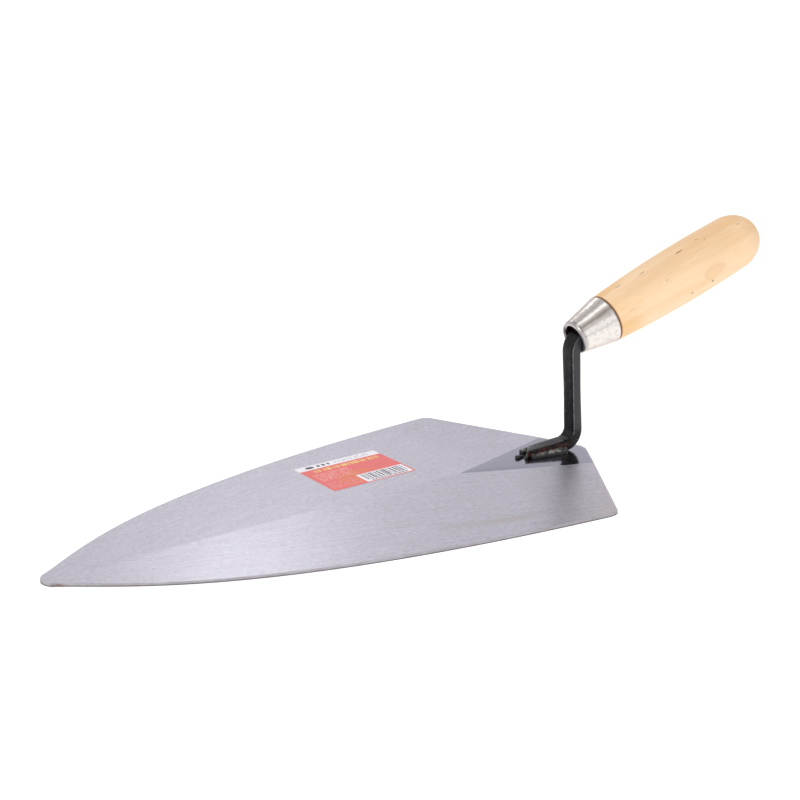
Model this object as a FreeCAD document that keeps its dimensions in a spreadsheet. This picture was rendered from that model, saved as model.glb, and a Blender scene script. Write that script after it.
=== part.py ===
"""Brick trowel: crowned steel blade, forged cranked tang welded to it, ferrule and turned handle.

Frame: +X runs from the blade's tip to the handle's butt, +Z is up, and the blade's rim lies on
the plane Z = 0. The origin is on that plane, midway between the tip and the butt. Millimetres.
"""
import FreeCAD, Part
import Sketcher
import math
import os

from FreeCAD import Placement, Rotation, Vector

SHEET = "sizes"

# alias, value, meaning; lengths in millimetres, angles in degrees
SIZES = [
    ("blade_length", 314.4, "tip to heel point"),
    ("blade_width", 166.2, "across the two heel corners"),
    ("heel_depth", 44.5, "heel corners to heel point, along X"),
    ("sheet_thickness", 1.7, "blade sheet, measured along Z"),
    ("tip_overrun", 10.4, "how far the sharp outline runs past the rounded tip"),
    ("tip_radius", 7.0, "rounding of the tip"),
    ("corner_radius", 4.0, "rounding of the heel corners"),
    ("heel_radius", 9.0, "rounding of the heel point"),
    ("tip_pull_along", 0.122, "first pole of the side curve, share of its length"),
    ("tip_pull_out", 0.098, "first pole of the side curve, share of the half width"),
    ("belly_along", 0.185, "second pole of the side curve, share of its length"),
    ("belly_out", 0.793, "second pole of the side curve, share of the half width"),
    ("crown_height", 3.4, "rise of the ridge above the rim"),
    ("facet_length", 83.8, "crown apex to heel point, along X"),
    ("facet_half_width", 22.7, "half width of the facet where it meets the heel"),
    ("tang_setback", 5.8, "heel point to where the shank's line meets the blade"),
    ("bar_width", 9.4, "tang bar, along Y"),
    ("bar_depth", 5.9, "tang bar, across the bend"),
    ("bar_corner", 1.2, "rounding of the tang bar's long edges"),
    ("foot_length", 24.0, "wedge in front of the bend"),
    ("foot_nose", 1.8, "height of the wedge's front end"),
    ("heel_bend", 7.5, "radius of the lower bend, on the bar's centre line"),
    ("neck_bend", 9.0, "radius of the upper bend, on the bar's centre line"),
    ("shank_run", 42.5, "straight part of the shank between the bends"),
    ("shank_lean", 3.8, "forward lean of the shank from the vertical"),
    ("handle_pitch", 18.15, "rise of the handle towards the butt"),
    ("mouth_gap", 0.4, "inside of the upper bend to the ferrule's mouth"),
    ("spike_length", 62.0, "tapered end driven into the handle"),
    ("spike_tip", 3.0, "square end of the spike"),
    ("ferrule_length", 21.5, "mouth to the handle's shoulder"),
    ("ferrule_front", 9.3, "outer radius at the mouth"),
    ("ferrule_rear", 13.4, "outer radius at the handle"),
    ("ferrule_wall", 0.9, "ferrule sheet"),
    ("lip_bead", 1.4, "radius of the bead rolled into the mouth's edge"),
    ("tenon_length", 14.5, "wood inside the ferrule"),
    ("shoulder_radius", 13.1, "handle next to the ferrule"),
    ("grip_radius", 15.7, "thickest part of the handle"),
    ("grip_station", 65.0, "shoulder to the thickest part"),
    ("butt_radius", 15.2, "handle where the dome starts"),
    ("grip_length", 91.6, "shoulder to the start of the dome"),
    ("dome_length", 17.8, "length of the domed butt"),
    ("weld_heel", 3.4, "leg of the side welds under the shank"),
    ("weld_front", 1.7, "leg of the side welds and of the nose weld at the front"),
    ("spatter_radius", 1.5, "drop of weld metal in front of the nose"),
    ("spatter_gap", 4.0, "nose weld to the middle of the drop"),
    ("label_long", 50.0, "label along X"),
    ("label_wide", 40.0, "label along Y"),
    ("label_thickness", 0.15, "label foil"),
    ("label_ahead", 98.8, "heel point to the label's rear edge"),
    ("label_aside", 13.2, "ridge to the label's inner edge"),
]


def make_sheet(doc):
    sheet = doc.addObject("Spreadsheet::Sheet", SHEET)
    for row, (alias, value, meaning) in enumerate(SIZES, start=1):
        sheet.set(f"A{row}", meaning)
        sheet.set(f"B{row}", str(value))
        sheet.setAlias(f"B{row}", alias)
    doc.recompute()
    return sheet


def bind(obj, **expressions):
    """Bind properties of an object to sheet formulas; names in a formula are sheet aliases."""
    aliases = sorted((alias for alias, _, _ in SIZES), key=len, reverse=True)
    for prop, formula in expressions.items():
        words = "".join(c if c.isalnum() or c == "_" else " " for c in formula).split()
        text = formula
        for alias in aliases:
            if alias in words:
                text = replace_word(text, alias, f"{SHEET}.{alias}")
        obj.setExpression(prop, text)


def replace_word(text, word, new):
    parts = []
    token = ""
    for char in text + " ":
        if char.isalnum() or char in "_.":
            token += char
            continue
        parts.append(new if token == word else token)
        parts.append(char)
        token = ""
    return "".join(parts).rstrip()


def polar(length, degrees):
    """Vector of a length in the XZ plane, at an angle from +X towards +Z."""
    angle = math.radians(degrees)
    return Vector(length * math.cos(angle), 0, length * math.sin(angle))


class Layout:
    """Places worked out from the sheet, in the trowel's frame."""

    def __init__(self, sheet):
        for alias, _, _ in SIZES:
            setattr(self, alias, float(getattr(sheet, alias)))
        self.facet_slope = math.degrees(math.atan2(self.crown_height, self.facet_length))
        self.place_blade()
        self.place_handle()
        self.centre_length()

    def place_blade(self):
        half = self.blade_width / 2
        self.heel = Vector(self.blade_length, 0, 0)
        self.corner = Vector(self.blade_length - self.heel_depth, half, 0)
        self.sharp_tip = Vector(-self.tip_overrun, 0, 0)
        self.apex = Vector(self.blade_length - self.facet_length, 0, self.crown_height)
        back = self.heel_depth * self.facet_half_width / half
        rise = self.crown_height * back / self.facet_length
        self.facet_edge = Vector(self.blade_length - back, self.facet_half_width, rise)

    def place_handle(self):
        """Follow the bar's centre line from the foot, through both bends, to the ferrule."""
        lift = self.sheet_thickness + self.tang_setback * math.tan(math.radians(self.facet_slope))
        self.tang = Vector(self.blade_length - self.tang_setback, 0, lift)
        self.tang_turn = Rotation(Vector(0, 1, 0), self.facet_slope)
        self.shank_angle = 90 + self.shank_lean + self.facet_slope
        self.neck_angle = self.handle_pitch + self.facet_slope
        middle = self.bar_depth / 2
        turn = self.shank_angle
        bend_rise = middle + self.heel_bend * (1 - math.cos(math.radians(turn)))
        bend_reach = self.heel_bend * math.sin(math.radians(turn))
        drift = bend_rise / math.tan(math.radians(turn))
        self.bend_start = Vector(drift - bend_reach, 0, middle)
        self.shank_foot = Vector(drift, 0, bend_rise)
        self.shank_top = self.shank_foot + polar(self.shank_run, self.shank_angle)
        centre = self.shank_top + polar(self.neck_bend, self.shank_angle - 90)
        self.neck_start = centre + polar(self.neck_bend, self.neck_angle + 90)
        inside = (self.neck_bend - middle) * math.sin(math.radians(turn - self.neck_angle))
        self.neck_run = self.ferrule_length - self.tenon_length + self.mouth_gap - inside
        self.neck_end = self.neck_start + polar(self.neck_run, self.neck_angle)
        self.spike_start = self.tang + self.tang_turn.multVec(self.neck_end)
        self.shoulder = self.spike_start + polar(self.tenon_length, self.handle_pitch)
        self.along_handle = Rotation(Vector(0, 1, 0), 90 - self.handle_pitch)

    def centre_length(self):
        """Shift every place so that the origin is midway between the tip and the butt."""
        dome = self.shoulder + polar(self.grip_length, self.handle_pitch)
        pitch = math.radians(self.handle_pitch)
        reach = math.hypot(self.dome_length * math.cos(pitch), self.butt_radius * math.sin(pitch))
        self.shift = Vector(-(dome.x + reach) / 2, 0, 0)


# ---- blade ---------------------------------------------------------------------------------

def mirrored(point):
    return Vector(point.x, -point.y, point.z)


def side_curve(at, side):
    """Rim from the sharp tip to a heel corner; side is +1 or -1 along Y."""
    run = at.corner - at.sharp_tip
    first = at.sharp_tip + Vector(at.tip_pull_along * run.x, at.tip_pull_out * run.y, 0)
    second = at.sharp_tip + Vector(at.belly_along * run.x, at.belly_out * run.y, 0)
    poles = [at.sharp_tip, first, second, at.corner]
    if side < 0:
        poles = [mirrored(pole) for pole in poles]
    curve = Part.BezierCurve()
    curve.setPoles(poles)
    return curve.toShape()


def crown_faces(at):
    """The blade's underside: a ruled half and a heel triangle on each side, and the facet."""
    ridge = Part.makeLine(at.sharp_tip, at.apex)
    faces = {}
    for name, side in (("far", 1), ("near", -1)):
        corner = at.corner if side > 0 else mirrored(at.corner)
        edge = at.facet_edge if side > 0 else mirrored(at.facet_edge)
        faces[f"{name}_half"] = Part.makeRuledSurface(ridge, side_curve(at, side))
        triangle = Part.makePolygon([at.apex, corner, edge, at.apex])
        faces[f"{name}_heel"] = Part.Face(triangle)
    edge = at.facet_edge
    facet = Part.makePolygon([at.apex, edge, at.heel, mirrored(edge), at.apex])
    faces["facet"] = Part.Face(facet)
    return faces


def blade_blank(at):
    """Upright prism of the outline with its tip, corners and heel point rounded."""
    margin = 2 * at.crown_height + at.sheet_thickness
    far = side_curve(at, 1)
    near = side_curve(at, -1)
    heel_far = Part.makeLine(at.corner, at.heel)
    heel_near = Part.makeLine(at.heel, mirrored(at.corner))
    outline = Part.Wire([far, heel_far, heel_near, near])
    prism = Part.Face(outline).extrude(Vector(0, 0, 2 * margin))
    prism.translate(Vector(0, 0, -margin))
    rounds = [(at.sharp_tip, at.tip_radius), (at.corner, at.corner_radius),
              (mirrored(at.corner), at.corner_radius), (at.heel, at.heel_radius)]
    for point, radius in rounds:
        uprights = [edge for edge in prism.Edges if is_upright_at(edge, point)]
        prism = prism.makeFillet(radius, uprights)
    return prism


def is_upright_at(edge, point):
    ends = [vertex.Point for vertex in edge.Vertexes]
    if len(ends) != 2:
        return False
    return all(math.hypot(end.x - point.x, end.y - point.y) < 1e-6 for end in ends)


def make_blade(doc, at):
    up = Vector(0, 0, at.sheet_thickness)
    pieces = [face.extrude(up) for face in crown_faces(at).values()]
    crowned = pieces[0].multiFuse(pieces[1:])
    blade = doc.addObject("Part::Feature", "blade")
    blade.Shape = crowned.common(blade_blank(at)).removeSplitter()
    blade.Placement = Placement(at.shift, Rotation())
    return blade


# ---- tang ----------------------------------------------------------------------------------

def constrain(sketch, name, expression, *args):
    index = sketch.addConstraint(Sketcher.Constraint(*args))
    sketch.renameConstraint(index, name)
    bind(sketch, **{f"Constraints.{name}": expression})


def bar_path(doc, at):
    """Centre line of the bar: lower bend, shank, upper bend and neck, in the XZ plane."""
    path = doc.addObject("Sketcher::SketchObject", "bar_path")
    path.Placement = Placement(Vector(), Rotation(Vector(1, 0, 0), 90))

    def flat(point):
        return Vector(point.x, point.z, 0)

    centre_low = at.bend_start + Vector(0, 0, at.heel_bend)
    centre_high = at.shank_top + polar(at.neck_bend, at.shank_angle - 90)
    start = math.radians(-90)
    stop = math.radians(at.shank_angle - 90)
    low = Part.ArcOfCircle(Part.Circle(flat(centre_low), Vector(0, 0, 1), at.heel_bend), start, stop)
    start = math.radians(at.neck_angle + 90)
    stop = math.radians(at.shank_angle + 90)
    high = Part.ArcOfCircle(Part.Circle(flat(centre_high), Vector(0, 0, 1), at.neck_bend), start, stop)
    shank = Part.LineSegment(flat(at.shank_foot), flat(at.shank_top))
    neck = Part.LineSegment(flat(at.neck_start), flat(at.neck_end))
    low, shank, high, neck = [path.addGeometry(geometry) for geometry in (low, shank, high, neck)]
    first, last, middle, origin = 1, 2, 3, -1
    path.addConstraint(Sketcher.Constraint("Tangent", low, last, shank, first))
    path.addConstraint(Sketcher.Constraint("Tangent", shank, last, high, last))
    path.addConstraint(Sketcher.Constraint("Tangent", high, first, neck, first))
    path.addConstraint(Sketcher.Constraint("Vertical", low, first, low, middle))
    constrain(path, "low_radius", "heel_bend", "Radius", low, at.heel_bend)
    constrain(path, "high_radius", "neck_bend", "Radius", high, at.neck_bend)
    constrain(path, "start_height", "bar_depth / 2",
              "DistanceY", origin, 1, low, first, at.bar_depth / 2)
    constrain(path, "shank_length", "shank_run", "Distance", shank, at.shank_run)
    inside = "(neck_bend - bar_depth / 2) * cos((shank_lean - handle_pitch) * 1 deg)"
    constrain(path, "neck_length", f"ferrule_length - tenon_length + mouth_gap - {inside}",
              "Distance", neck, at.neck_run)
    path.addConstraint(Sketcher.Constraint("DistanceX", origin, 1, low, first, at.bend_start.x))
    path.addConstraint(Sketcher.Constraint("Angle", shank, math.radians(at.shank_angle)))
    path.addConstraint(Sketcher.Constraint("Angle", neck, math.radians(at.neck_angle)))
    return path


def bar_section(doc, at):
    """Rounded rectangle of the bar, square to the start of its path."""
    section = doc.addObject("Sketcher::SketchObject", "bar_section")
    half_width = at.bar_width / 2
    half_depth = at.bar_depth / 2
    radius = at.bar_corner
    centres = [(half_width - radius, half_depth - radius), (radius - half_width, half_depth - radius),
               (radius - half_width, radius - half_depth), (half_width - radius, radius - half_depth)]
    arcs = []
    for turn, (across, up) in enumerate(centres):
        circle = Part.Circle(Vector(across, up, 0), Vector(0, 0, 1), radius)
        start = math.radians(90 * turn)
        arcs.append(section.addGeometry(Part.ArcOfCircle(circle, start, start + math.pi / 2)))
    for turn, arc in enumerate(arcs):
        following = arcs[(turn + 1) % 4]
        ends = (section.getPoint(arc, 2), section.getPoint(following, 1))
        line = section.addGeometry(Part.LineSegment(*ends))
        section.addConstraint(Sketcher.Constraint("Tangent", arc, 2, line, 1))
        section.addConstraint(Sketcher.Constraint("Tangent", line, 2, following, 1))
        section.addConstraint(Sketcher.Constraint("Horizontal" if turn % 2 == 0 else "Vertical", line))
    for arc in arcs[1:]:
        section.addConstraint(Sketcher.Constraint("Equal", arcs[0], arc))
    section.addConstraint(Sketcher.Constraint("Symmetric", arcs[0], 3, arcs[2], 3, -1, 1))
    constrain(section, "corner", "bar_corner", "Radius", arcs[0], radius)
    constrain(section, "width", "bar_width - 2 * bar_corner",
              "DistanceX", arcs[1], 3, arcs[0], 3, 2 * (half_width - radius))
    constrain(section, "depth", "bar_depth - 2 * bar_corner",
              "DistanceY", arcs[3], 3, arcs[0], 3, 2 * (half_depth - radius))
    section.Placement = Placement(at.bend_start, Rotation(Vector(0, 1, 0), Vector(0, 0, 1), Vector(1, 0, 0)))
    return section


def tapered_bar(doc, name, **sizes):
    """Four-sided taper, from a rectangle at Y = 0 to another at its length."""
    wedge = doc.addObject("Part::Wedge", name)
    bind(wedge, Xmin="-bar_width / 2", Xmax="bar_width / 2", Ymin="0", **sizes)
    return wedge


def make_spike(doc, at, name):
    spike = tapered_bar(doc, name, Ymax="spike_length", Zmin="-bar_depth / 2", Zmax="bar_depth / 2",
                        X2min="-spike_tip / 2", X2max="spike_tip / 2",
                        Z2min="-spike_tip / 2", Z2max="spike_tip / 2")
    return spike


def make_tang(doc, at):
    shank = doc.addObject("Part::Sweep", "shank")
    shank.Sections = [bar_section(doc, at)]
    path = bar_path(doc, at)
    doc.recompute()
    shank.Spine = (path, [f"Edge{number + 1}" for number in range(len(path.Shape.Edges))])
    shank.Solid = True
    foot = tapered_bar(doc, "foot", Ymax="foot_length", Zmin="0", Zmax="bar_depth",
                       X2min="-bar_width / 2", X2max="bar_width / 2", Z2min="0", Z2max="foot_nose")
    foot.Placement = Placement(Vector(at.bend_start.x, 0, 0), Rotation(Vector(0, 0, 1), 90))
    spike = make_spike(doc, at, "spike")
    turn = Rotation(Vector(0, 1, 0), -at.neck_angle)
    spike.Placement = Placement(at.neck_end, turn.multiply(Rotation(Vector(0, 0, 1), -90)))
    tang = doc.addObject("Part::MultiFuse", "tang")
    tang.Shapes = [foot, shank, spike]
    tang.Placement = Placement(at.tang + at.shift, at.tang_turn)
    return tang


# ---- welds ---------------------------------------------------------------------------------

def on_facet(at, point, turn):
    """Placement of something laid on the facet, from its place in the tang's own frame."""
    return Placement(at.tang + at.shift, at.tang_turn).multiply(Placement(point, turn))


def make_side_weld(doc, at, name, side):
    """Quarter cone in the corner between the foot's side and the blade."""
    weld = doc.addObject("Part::Cone", name)
    bind(weld, Radius1="weld_heel", Radius2="weld_front", Height="foot_length")
    weld.Angle = 90
    start = Vector(at.bend_start.x, side * at.bar_width / 2, 0)
    up = Vector(0, 0, 1)
    forward = Vector(-1, 0, 0)
    if side > 0:
        turn = Rotation(up, Vector(0, 1, 0), forward)
    else:
        turn = Rotation(Vector(0, -1, 0), up, forward)
    weld.Placement = on_facet(at, start, turn)
    return weld


def make_nose_weld(doc, at):
    """Quarter round across the front end of the foot."""
    weld = doc.addObject("Part::Cylinder", "weld_nose")
    bind(weld, Radius="weld_front", Height="bar_width")
    weld.Angle = 90
    front = Vector(at.bend_start.x - at.foot_length, at.bar_width / 2, 0)
    turn = Rotation(Vector(0, 0, 1), Vector(-1, 0, 0), Vector(0, -1, 0))
    weld.Placement = on_facet(at, front, turn)
    return weld


def make_spatter(doc, at):
    """Drop of weld metal set on the facet ahead of the nose."""
    drop = doc.addObject("Part::Sphere", "weld_spatter")
    bind(drop, Radius="spatter_radius")
    drop.Angle1 = 0
    ahead = at.bend_start.x - at.foot_length - at.weld_front - at.spatter_gap
    drop.Placement = on_facet(at, Vector(ahead, -at.spatter_radius / 2, 0), Rotation())
    return drop


# ---- ferrule and handle, along their own Z axis from the handle's shoulder -------------------

def on_handle(at, station):
    """Placement of a turned piece at a distance behind the handle's shoulder."""
    start = at.shoulder + polar(station, at.handle_pitch)
    return Placement(start + at.shift, at.along_handle)


def make_cone(doc, name, front, rear, length):
    cone = doc.addObject("Part::Cone", name)
    bind(cone, Radius1=front, Radius2=rear, Height=length)
    return cone


def make_ferrule(doc, at):
    cone_length = "(ferrule_length - lip_bead)"
    shell = make_cone(doc, "ferrule_shell", "ferrule_front", "ferrule_rear", cone_length)
    hollow = make_cone(doc, "ferrule_hollow", "ferrule_front - ferrule_wall",
                       "ferrule_rear - ferrule_wall", cone_length)
    wall = doc.addObject("Part::Cut", "ferrule_wall")
    wall.Base = shell
    wall.Tool = hollow
    lip = doc.addObject("Part::Torus", "ferrule_lip")
    bind(lip, Radius1="ferrule_front - lip_bead", Radius2="lip_bead")
    ferrule = doc.addObject("Part::MultiFuse", "ferrule")
    ferrule.Shapes = [wall, lip]
    ferrule.Placement = on_handle(at, at.lip_bead - at.ferrule_length)
    return ferrule


def grip_profile(doc, at):
    """Half section of the grip: axis, butt end, swelling side and shoulder."""
    sketch = doc.addObject("Sketcher::SketchObject", "grip_profile")
    sketch.Placement = Placement(Vector(), Rotation(Vector(1, 0, 0), 90))
    shoulder = Vector(at.shoulder_radius, 0, 0)
    thickest = Vector(at.grip_radius, at.grip_station, 0)
    butt = Vector(at.butt_radius, at.grip_length, 0)
    foot, head = Vector(0, 0, 0), Vector(0, at.grip_length, 0)
    axis = sketch.addGeometry(Part.LineSegment(foot, head))
    end = sketch.addGeometry(Part.LineSegment(head, butt))
    side = sketch.addGeometry(Part.Arc(shoulder, thickest, butt))
    face = sketch.addGeometry(Part.LineSegment(shoulder, foot))
    mark = sketch.addGeometry(Part.Point(thickest), True)
    sketch.addConstraint(Sketcher.Constraint("Coincident", axis, 1, -1, 1))
    sketch.addConstraint(Sketcher.Constraint("Coincident", axis, 2, end, 1))
    sketch.addConstraint(Sketcher.Constraint("Coincident", end, 2, side, 2))
    sketch.addConstraint(Sketcher.Constraint("Coincident", side, 1, face, 1))
    sketch.addConstraint(Sketcher.Constraint("Coincident", face, 2, axis, 1))
    sketch.addConstraint(Sketcher.Constraint("Vertical", axis))
    sketch.addConstraint(Sketcher.Constraint("Horizontal", end))
    sketch.addConstraint(Sketcher.Constraint("Horizontal", face))
    sketch.addConstraint(Sketcher.Constraint("PointOnObject", mark, 1, side))
    constrain(sketch, "grip", "grip_length", "DistanceY", -1, 1, axis, 2, at.grip_length)
    constrain(sketch, "butt", "butt_radius", "DistanceX", -1, 1, end, 2, butt.x)
    constrain(sketch, "shoulder", "shoulder_radius", "DistanceX", -1, 1, side, 1, shoulder.x)
    constrain(sketch, "thickest", "grip_radius", "DistanceX", -1, 1, mark, 1, thickest.x)
    constrain(sketch, "station", "grip_station", "DistanceY", -1, 1, mark, 1, thickest.y)
    return sketch


def make_handle(doc, at):
    grip = doc.addObject("Part::Revolution", "grip")
    grip.Source = grip_profile(doc, at)
    grip.Axis = Vector(0, 0, 1)
    grip.Angle = 360
    grip.Solid = True
    dome = doc.addObject("Part::Ellipsoid", "dome")
    bind(dome, Radius1="dome_length", Radius2="butt_radius")
    dome.Angle1 = 0
    dome.Placement = Placement(Vector(0, 0, at.grip_length), Rotation())
    share = "tenon_length / (ferrule_length - lip_bead)"
    tenon = make_cone(doc, "tenon",
                      f"ferrule_rear - ferrule_wall - (ferrule_rear - ferrule_front) * {share}",
                      "ferrule_rear - ferrule_wall", "tenon_length")
    tenon.Placement = Placement(Vector(0, 0, -at.tenon_length), Rotation())
    turning = doc.addObject("Part::MultiFuse", "turning")
    turning.Shapes = [tenon, grip, dome]
    bore = make_spike(doc, at, "spike_bore")
    across, along, down = Vector(0, 1, 0), Vector(0, 0, 1), Vector(1, 0, 0)
    bore.Placement = Placement(Vector(0, 0, -at.tenon_length), Rotation(across, along, down))
    handle = doc.addObject("Part::Cut", "handle")
    handle.Base = turning
    handle.Tool = bore
    handle.Placement = on_handle(at, 0)
    return handle


# ---- label ---------------------------------------------------------------------------------

def make_label(doc, at):
    """Foil stuck on the far half of the blade, following its surface."""
    foil = crown_faces(at)["far_half"].extrude(Vector(0, 0, at.label_thickness))
    foil.translate(Vector(0, 0, at.sheet_thickness))
    start = Vector(at.blade_length - at.label_ahead - at.label_long, at.label_aside, 0)
    tall = at.crown_height + at.sheet_thickness + at.label_thickness
    cutter = Part.makeBox(at.label_long, at.label_wide, tall, start)
    label = doc.addObject("Part::Feature", "label")
    label.Shape = foil.common(cutter)
    label.Placement = Placement(at.shift, Rotation())
    return label


def build():
    doc = FreeCAD.newDocument("brick_trowel")
    at = Layout(make_sheet(doc))
    parts = [make_blade(doc, at), make_tang(doc, at), make_side_weld(doc, at, "weld_near", -1),
             make_side_weld(doc, at, "weld_far", 1), make_nose_weld(doc, at),
             make_spatter(doc, at), make_ferrule(doc, at), make_handle(doc, at),
             make_label(doc, at)]
    doc.recompute()
    return doc, parts


def check(doc, parts):
    for obj in doc.Objects:
        if "Invalid" in obj.State or "Error" in obj.State:
            raise RuntimeError(f"{obj.Label} did not build: {obj.State}")
    for part in parts:
        if part.Shape.isNull() or not part.Shape.isValid():
            raise RuntimeError(f"{part.Label} has no valid shape")
        if len(part.Shape.Solids) != 1:
            raise RuntimeError(f"{part.Label} is {len(part.Shape.Solids)} solids")


def main():
    doc, parts = build()
    check(doc, parts)
    os.makedirs("parts", exist_ok=True)
    for part in parts:
        part.Shape.exportStep(f"parts/{part.Label}.step")
        box = part.Shape.BoundBox
        print(f"{part.Label:14} volume {part.Shape.Volume:10.1f}  x {box.XMin:8.2f} {box.XMax:8.2f}"
              f"  y {box.YMin:7.2f} {box.YMax:7.2f}  z {box.ZMin:7.2f} {box.ZMax:7.2f}")


main()
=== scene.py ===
"""Brick trowel: ground steel blade, lacquered tang, plated ferrule, turned handle and price label."""

import math

import bmesh
import bpy
from mathutils import Matrix, Vector
from mathutils.bvhtree import BVHTree


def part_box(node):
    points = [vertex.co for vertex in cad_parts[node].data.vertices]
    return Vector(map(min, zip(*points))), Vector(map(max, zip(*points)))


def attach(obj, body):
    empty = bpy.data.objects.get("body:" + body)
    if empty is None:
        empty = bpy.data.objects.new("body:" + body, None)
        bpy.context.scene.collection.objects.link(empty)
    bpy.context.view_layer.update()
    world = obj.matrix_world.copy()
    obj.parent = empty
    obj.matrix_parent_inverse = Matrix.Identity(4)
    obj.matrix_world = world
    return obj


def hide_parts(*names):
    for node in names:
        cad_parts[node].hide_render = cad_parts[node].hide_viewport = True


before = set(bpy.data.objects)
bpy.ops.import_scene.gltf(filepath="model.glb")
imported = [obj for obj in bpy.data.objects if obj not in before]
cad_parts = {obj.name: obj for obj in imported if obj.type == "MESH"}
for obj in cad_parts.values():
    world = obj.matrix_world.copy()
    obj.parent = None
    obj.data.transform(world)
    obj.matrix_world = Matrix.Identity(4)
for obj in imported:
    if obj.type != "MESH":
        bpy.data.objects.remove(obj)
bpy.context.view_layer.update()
MM = 0.001


# ---- studio --------------------------------------------------------------------------------
# A white table under a broad soft sky that is dimmer overhead. A large softbox high on the near
# side lights the whole trowel, one in front and one above light the handle, and a small one on
# the far side is mirrored in the blade near its tip.

CAMERA_AZIMUTH = -33.766
CAMERA_ELEVATION = 20.894
CAMERA_PLACE = (-526.6 * MM, -741.2 * MM, 363.6 * MM)
LENS = 86.216
SHIFT = (0.0245, 0.0692)
TABLE_REACH = 6.0
TABLE_GLOW = 0.42
SKY_FRONT = (0.86, 0.86, 0.88, 1)
SKY_BEHIND = (0.945, 0.925, 0.965, 1)
SKY_HIGH = (0.70, 0.685, 0.69, 1)
SKY_OVERHEAD = (0.61, 0.60, 0.60, 1)
BLADE_CENTRE = (0.0, 0.0, 0.0)
BLADE_FRONT = (-0.12, -0.03, 0.0)
HANDLE_CENTRE = (0.1, 0.0, 0.07)


class Wire:
    """A node socket that takes part in sums: each operator adds one Math node to its tree."""

    def __init__(self, tree, socket=None):
        self.tree = tree
        self.socket = socket

    def node(self, kind, settings=None, inputs=None, output=0):
        """Add any node: settings first, then the values or links of its sockets."""
        made = self.tree.nodes.new(kind)
        for name, value in (settings or {}).items():
            setattr(made, name, value)
        for name, value in (inputs or {}).items():
            if isinstance(value, Wire):
                self.tree.links.new(value.socket, made.inputs[name])
            else:
                made.inputs[name].default_value = value
        return Wire(self.tree, made.outputs[output] if len(made.outputs) else None)

    def combine(self, operation, *values):
        """One Math node on wires or numbers."""
        return self.node("ShaderNodeMath", {"operation": operation}, dict(enumerate(values)))

    def math(self, operation, *others):
        """One Math node that takes this wire first."""
        return self.combine(operation, self, *others)

    def __add__(self, other):
        return self.math("ADD", other)

    def __radd__(self, other):
        return self.combine("ADD", other, self)

    def __sub__(self, other):
        return self.math("SUBTRACT", other)

    def __rsub__(self, other):
        return self.combine("SUBTRACT", other, self)

    def __mul__(self, other):
        return self.math("MULTIPLY", other)

    def __rmul__(self, other):
        return self.combine("MULTIPLY", other, self)

    def __truediv__(self, other):
        return self.math("DIVIDE", other)

    def __abs__(self):
        return self.math("ABSOLUTE")

    def __lt__(self, other):
        return self.math("LESS_THAN", other)

    def __gt__(self, other):
        return self.math("GREATER_THAN", other)

    def ramp(self, low, high, start=0.0, stop=1.0, smooth=True):
        """Map low..high to start..stop, held at the ends."""
        settings = {"interpolation_type": "SMOOTHSTEP" if smooth else "LINEAR"}
        inputs = {"Value": self, "From Min": low, "From Max": high, "To Min": start, "To Max": stop}
        return self.node("ShaderNodeMapRange", settings, inputs)

    def tint(self, first, second):
        """Mix two colours by this wire."""
        inputs = {"Factor": self, 6: first, 7: second}
        return self.node("ShaderNodeMix", {"data_type": "RGBA"}, inputs, output=2)

    def parts(self):
        """X, Y and Z of a vector."""
        split = self.node("ShaderNodeSeparateXYZ", inputs={"Vector": self})
        outputs = split.socket.node.outputs
        return [Wire(self.tree, outputs[index]) for index in range(3)]

    def vector(self, x, y, z):
        """A vector from three wires or numbers."""
        return self.node("ShaderNodeCombineXYZ", inputs={"X": x, "Y": y, "Z": z})

    def noise(self, vector, scale, detail=3.0, rough=0.5, warp=0.0):
        """Soft noise from 0 to 1, mostly near 0.5."""
        inputs = {"Vector": vector, "Scale": scale, "Detail": detail, "Roughness": rough,
                  "Distortion": warp}
        return self.node("ShaderNodeTexNoise", {}, inputs)


def grey(level):
    """An even grey as a colour."""
    return (level, level, level, 1)


def new_material(name):
    """An empty material and the wire that its nodes grow from."""
    material = bpy.data.materials.new(name)
    material.use_nodes = True
    material.node_tree.nodes.clear()
    return material, Wire(material.node_tree)


def finish_material(root, inputs, bump=None, bump_depth=0.0002, strength=1.0):
    """Principled surface with an optional bump from a height wire."""
    if bump is not None:
        relief = {"Height": bump, "Distance": bump_depth, "Strength": strength}
        inputs = {**inputs, "Normal": root.node("ShaderNodeBump", inputs=relief)}
    surface = root.node("ShaderNodeBsdfPrincipled", inputs=inputs)
    root.node("ShaderNodeOutputMaterial", inputs={"Surface": surface})


def aim(obj, place, target):
    """Put a camera or light at a place and point it at a target."""
    obj.location = place
    obj.rotation_euler = (Vector(target) - Vector(place)).to_track_quat("-Z", "Y").to_euler()


def add_camera():
    """Camera in front of the tip, on the near side, looking down on the blade."""
    data = bpy.data.cameras.new("camera")
    data.lens = LENS
    data.shift_x, data.shift_y = SHIFT
    data.clip_start, data.clip_end = 0.05, 50.0
    camera = bpy.data.objects.new("camera", data)
    camera.location = CAMERA_PLACE
    camera.rotation_euler = (math.radians(90 - CAMERA_ELEVATION), 0, math.radians(CAMERA_AZIMUTH))
    bpy.context.scene.collection.objects.link(camera)
    bpy.context.scene.camera = camera


def add_softbox(name, place, target, size, power, tint=(1.0, 1.0, 1.0)):
    """Rectangular lamp of a size and power, pointed at a target."""
    data = bpy.data.lights.new(name, "AREA")
    data.shape = "RECTANGLE"
    data.size, data.size_y = size
    data.energy = power
    data.color = tint
    light = bpy.data.objects.new(name, data)
    aim(light, place, target)
    bpy.context.scene.collection.objects.link(light)


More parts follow.
